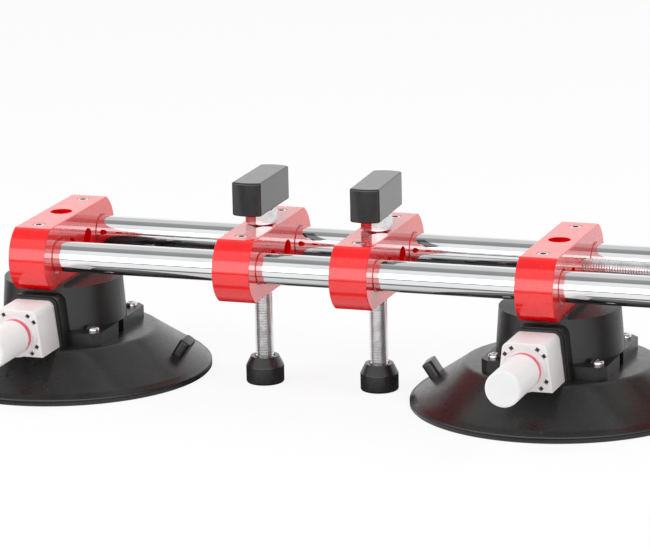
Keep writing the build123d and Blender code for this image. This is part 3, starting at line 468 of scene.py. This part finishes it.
def make_spindles():
    """The levelling spindles and the drive screw, with real helical threads."""
    for side in SIDES:
        low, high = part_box(f"{side}_level_screw")
        radius = (high.x - low.x) / 2
        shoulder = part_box(f"{side}_foot_bush")[1].z + BUSH_CLEARANCE
        threaded_rod(f"{side}_level_thread", f"{side}_level_spindle", f"{side}_level_screw",
                     upright_at(LEVEL_X[side]), shoulder, high.z, radius)
    low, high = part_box("drive_screw")
    axis = Matrix.Translation((0, (low.y + high.y) / 2, ROD_Z)) @ Matrix.Rotation(math.pi / 2, 4, "Y")
    threaded_rod("drive_thread", "drive_spindle", "drive_screw", axis, low.x, high.x, (high.z - low.z) / 2)


# ---- suction pads -------------------------------------------------------------------
PAD_STEPS = 224
PAD_SHOULDER_R = 61.0 * MM
PAD_SHOULDER_ROUND = 1.5 * MM
PAD_LIP_H = 5.0 * MM
PAD_LIP_ROUND = 1.5 * MM
PAD_LIP_WIDTH = 8.0 * MM
PAD_SAG = 0.3 * MM
PAD_SHOULDER_IN = 0.6 * MM
PAD_SHOULDER_DROP = 0.15 * MM
PAD_LIP_TURN = 70               # degrees that the lip's rounding turns through
PAD_SKIRT_FROM = 1.6 * MM       # the skirt starts this far in from the rim
PAD_FOOT_ROUND = 0.6 * MM
PAD_GROOVE_DEPTH = 0.35 * MM
PAD_GROOVE_DROPS = (2.2 * MM, 2.0 * MM, 1.7 * MM)       # below the lip's top: edge, bottom, bottom
PAD_HOLLOW_R = 58.0 * MM
PAD_HOLLOW_TOP = 19.0 * MM
PAD_HOLLOW_ROUND = Vector((2.0, 0.8)) * MM
PAD_BEVEL_IN = 4.0 * MM
PAD_INNER_EDGE = Vector((0.4, 0.5)) * MM
SKIRT_STEPS = 28
SKIRT_MARKS = 100               # steps along the skirt that the tab's place is counted in
ON_AXIS = 1e-9
TAB_ALONG = 0.55
TAB_SIZE = Vector((16.0, 7.5, 13.5)) * MM
TAB_ROOT = 3.0 * MM
TAB_CORNER = 2.6 * MM
TAB_ROUND = 1.2 * MM
TAB_LEAN = math.radians(33.0)
TAB_TURN = {"left": math.radians(1.8), "right": math.radians(185.8)}
CUP_BODY = {"left": "rail", "right": "right_cup"}


def sagging_arc(start, end, sag, count):
    """Points along an arc from start to end that dips below its chord by sag."""
    start, end = Vector(start), Vector(end)
    half = (end - start).length / 2
    radius = (half**2 + sag**2) / (2 * sag)
    along = (end - start).normalized()
    up = Vector((-along.y, along.x))
    centre = (start + end) / 2 + up * (radius - sag)
    swing = math.asin(half / radius)
    points = []
    for step in range(count + 1):
        angle = -swing + 2 * swing * step / count
        points.append(centre + along * radius * math.sin(angle) - up * radius * math.cos(angle))
    return points


def rounded(centre, radius, first, last, count=5):
    """Points of a corner arc, between two angles in degrees."""
    points = []
    for step in range(count + 1):
        angle = math.radians(first + (last - first) * step / count)
        points.append((centre[0] + radius * math.cos(angle), centre[1] + radius * math.sin(angle)))
    return points


def lathe(bm, place, outline, steps):
    """A closed solid turned about the place's z axis, from (radius, height) points that end on the axis."""
    rings = []
    for radius, height in outline:
        if radius < ON_AXIS:
            rings.append([bm.verts.new(place @ Vector((0, 0, height)))])
            continue
        angles = [2 * math.pi * step / steps for step in range(steps)]
        rings.append([bm.verts.new(place @ Vector((radius * math.cos(a), radius * math.sin(a), height)))
                      for a in angles])
    for below, above in zip(rings, rings[1:]):
        for step in range(steps):
            following = (step + 1) % steps
            corners = [below[step % len(below)], below[following % len(below)],
                       above[following % len(above)], above[step % len(above)]]
            unique = list(dict.fromkeys(corners))
            if len(unique) > 2:
                bm.faces.new(unique)


def pad_outline():
    """Half section of the pad, from the axis under its hollow, round the lip, to the axis on top."""
    skirt = sagging_arc((PAD_SHOULDER_R, PAD_TOP), (PAD_R, PAD_LIP_H), PAD_SAG, SKIRT_STEPS)[1:-1]
    lip_in = PAD_R - PAD_LIP_WIDTH
    groove_edge, groove_low, groove_high = (PAD_LIP_H - drop for drop in PAD_GROOVE_DROPS)
    lip_centre = (PAD_R - PAD_LIP_ROUND, PAD_LIP_H - PAD_LIP_ROUND)
    return [
        (0.0, PAD_HOLLOW_TOP),
        (PAD_HOLLOW_R - PAD_HOLLOW_ROUND.x, PAD_HOLLOW_TOP),
        (PAD_HOLLOW_R, PAD_HOLLOW_TOP - PAD_HOLLOW_ROUND.y),
        (lip_in - PAD_BEVEL_IN, PAD_LIP_H),
        (lip_in - PAD_INNER_EDGE.x, PAD_INNER_EDGE.y),
        (lip_in, 0.0),
        (PAD_R - PAD_FOOT_ROUND, 0.0),
        (PAD_R, PAD_FOOT_ROUND),
        (PAD_R, groove_edge),
        (PAD_R - PAD_GROOVE_DEPTH, groove_low),
        (PAD_R - PAD_GROOVE_DEPTH, groove_high),
        *rounded(lip_centre, PAD_LIP_ROUND, 0, PAD_LIP_TURN),
        *[tuple(point) for point in reversed(skirt) if point.x < PAD_R - PAD_SKIRT_FROM],
        (PAD_SHOULDER_R - PAD_SHOULDER_IN, PAD_TOP - PAD_SHOULDER_DROP),
        (PAD_SHOULDER_R - PAD_SHOULDER_ROUND, PAD_TOP),
        (0.0, PAD_TOP),
    ]


def tab_place(side):
    """Where the tab leaves the skirt: its z axis leans outwards and its x axis runs round the pad."""
    skirt = sagging_arc((PAD_SHOULDER_R, PAD_TOP), (PAD_R, PAD_LIP_H), PAD_SAG, SKIRT_MARKS)
    foot = skirt[round(SKIRT_MARKS * TAB_ALONG)]
    turn = TAB_TURN[side]
    outward = Vector((math.cos(turn), math.sin(turn), 0))
    axis = outward * math.sin(TAB_LEAN) + Vector((0, 0, math.cos(TAB_LEAN)))
    across = Vector((-math.sin(turn), math.cos(turn), 0))
    place = Matrix((across, axis.cross(across), axis)).transposed().to_4x4()
    place.translation = Vector((CUP_X[side], MID_Y, foot.y)) + outward * foot.x - axis * TAB_ROOT
    return place


def add_tab(bm, place):
    """The release tab: a block with rounded corners that leans out of the skirt."""
    tab = bmesh.new()
    bmesh.ops.create_cube(tab, size=1.0)
    bmesh.ops.scale(tab, vec=TAB_SIZE, verts=tab.verts)
    bmesh.ops.translate(tab, vec=(0, 0, TAB_SIZE.z / 2), verts=tab.verts)
    uprights = [e for e in tab.edges if abs(e.verts[0].co.z - e.verts[1].co.z) > TAB_SIZE.z / 2]
    bmesh.ops.bevel(tab, geom=uprights, offset=TAB_CORNER, segments=7, profile=0.5, affect="EDGES")
    top = [e for e in tab.edges if min(v.co.z for v in e.verts) > TAB_SIZE.z - NEAR]
    bmesh.ops.bevel(tab, geom=top, offset=TAB_ROUND, segments=4, profile=0.5, affect="EDGES")
    absorb(bm, tab, place)


def make_pads():
    for side in SIDES:
        bm = bmesh.new()
        lathe(bm, upright_at(CUP_X[side]), pad_outline(), PAD_STEPS)
        add_tab(bm, tab_place(side))
        make_piece(f"{side}_pad_rubber", bm, "pad_rubber", CUP_BODY[side], f"{side}_suction_pad")


# ---- pump details -------------------------------------------------------------------
NOTCH_BLOCK_PAIRS = (47.0, 133.0, 217.0, 323.0)
NOTCH_BLOCK_SPREAD = 10.5
NOTCH_BLOCK_SIZE = Vector((2.2, 2.3, 3.4)) * MM
NOTCH_BLOCK_SUNK = 0.5 * MM
NOTCH_BLOCK_GAP = 0.1 * MM              # between a block and the collar
NOTCH_BLOCK_EDGE = 0.3 * MM


def make_notch_blocks():
    """Black blocks set in the notches round each pump's collar, which make the notches look dark."""
    for side in SIDES:
        collar_low, collar_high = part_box(f"{side}_pump_collar")
        body_low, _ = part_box(f"{side}_pump_body")
        centre = (collar_low + collar_high) / 2
        radius = (collar_high.x - collar_low.x) / 2 + NOTCH_BLOCK_SIZE.x / 2 + NOTCH_BLOCK_GAP
        bm = bmesh.new()
        for middle in NOTCH_BLOCK_PAIRS:
            for spread in (-NOTCH_BLOCK_SPREAD, NOTCH_BLOCK_SPREAD):
                notch_block = bmesh.new()
                bmesh.ops.create_cube(notch_block, size=1.0)
                bmesh.ops.scale(notch_block, vec=NOTCH_BLOCK_SIZE, verts=notch_block.verts)
                bmesh.ops.bevel(notch_block, geom=notch_block.edges[:], offset=NOTCH_BLOCK_EDGE, segments=2, profile=0.5,
                                affect="EDGES")
                turn = Matrix.Rotation(-math.radians(middle + spread), 4, "Y")
                place = Matrix.Translation((centre.x, body_low.y + NOTCH_BLOCK_SUNK + NOTCH_BLOCK_SIZE.z / 2, centre.z))
                upend = Matrix.Rotation(math.pi / 2, 4, "X")
                absorb(bm, notch_block, place @ turn @ Matrix.Translation((radius, 0, 0)) @ upend)
        make_piece(f"{side}_collar_notch_blocks", bm, "black_plastic", CUP_BODY[side])


# ---- return springs -----------------------------------------------------------------
WIRE_D = 1.2 * MM
WIRE_SIDES = 8
COIL_PITCH = 5.0 * MM
COIL_STEPS = 24                 # per turn


def add_coil(bm, place, length, radius):
    """A wire wound round the place's z axis, from 0 to length, with closed ends."""
    rise = length - WIRE_D
    steps = math.ceil(rise / COIL_PITCH * COIL_STEPS)
    rings = []
    for step in range(steps + 1):
        turn = 2 * math.pi * step / COIL_STEPS
        outward = Vector((math.cos(turn), math.sin(turn), 0))
        middle = outward * radius + Vector((0, 0, WIRE_D / 2 + rise * step / steps))
        ring = []
        for corner in range(WIRE_SIDES):
            angle = 2 * math.pi * corner / WIRE_SIDES
            spot = middle + (outward * math.cos(angle) + Vector((0, 0, math.sin(angle)))) * WIRE_D / 2
            ring.append(bm.verts.new(place @ spot))
        rings.append(ring)
    for here, following in zip(rings, rings[1:]):
        for corner in range(WIRE_SIDES):
            beside = (corner + 1) % WIRE_SIDES
            bm.faces.new([here[corner], here[beside], following[beside], following[corner]])
    bm.faces.new(rings[0])
    bm.faces.new(rings[-1])


def make_springs():
    """The pumps' return springs as coils, each with a mesh of its own."""
    for side in SIDES:
        low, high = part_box(f"{side}_pump_spring")
        length = high.y - low.y
        front = Vector(((low.x + high.x) / 2, low.y, (low.z + high.z) / 2))
        place = Matrix.Translation(front) @ Matrix.Rotation(-math.pi / 2, 4, "X")
        bm = bmesh.new()
        add_coil(bm, place, length, (high.x - low.x - WIRE_D) / 2)
        coil = make_piece(f"{side}_pump_coil", bm, "spring_steel", CUP_BODY[side], f"{side}_pump_spring")
        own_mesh(coil)


# ---- the scene ----------------------------------------------------------------------
make_camera()
make_floor()
make_world()
make_lamps()
dress_cad_nodes()
make_spindles()
make_pads()
make_notch_blocks()
make_springs()

bpy.context.scene.view_settings.view_transform = "Standard"
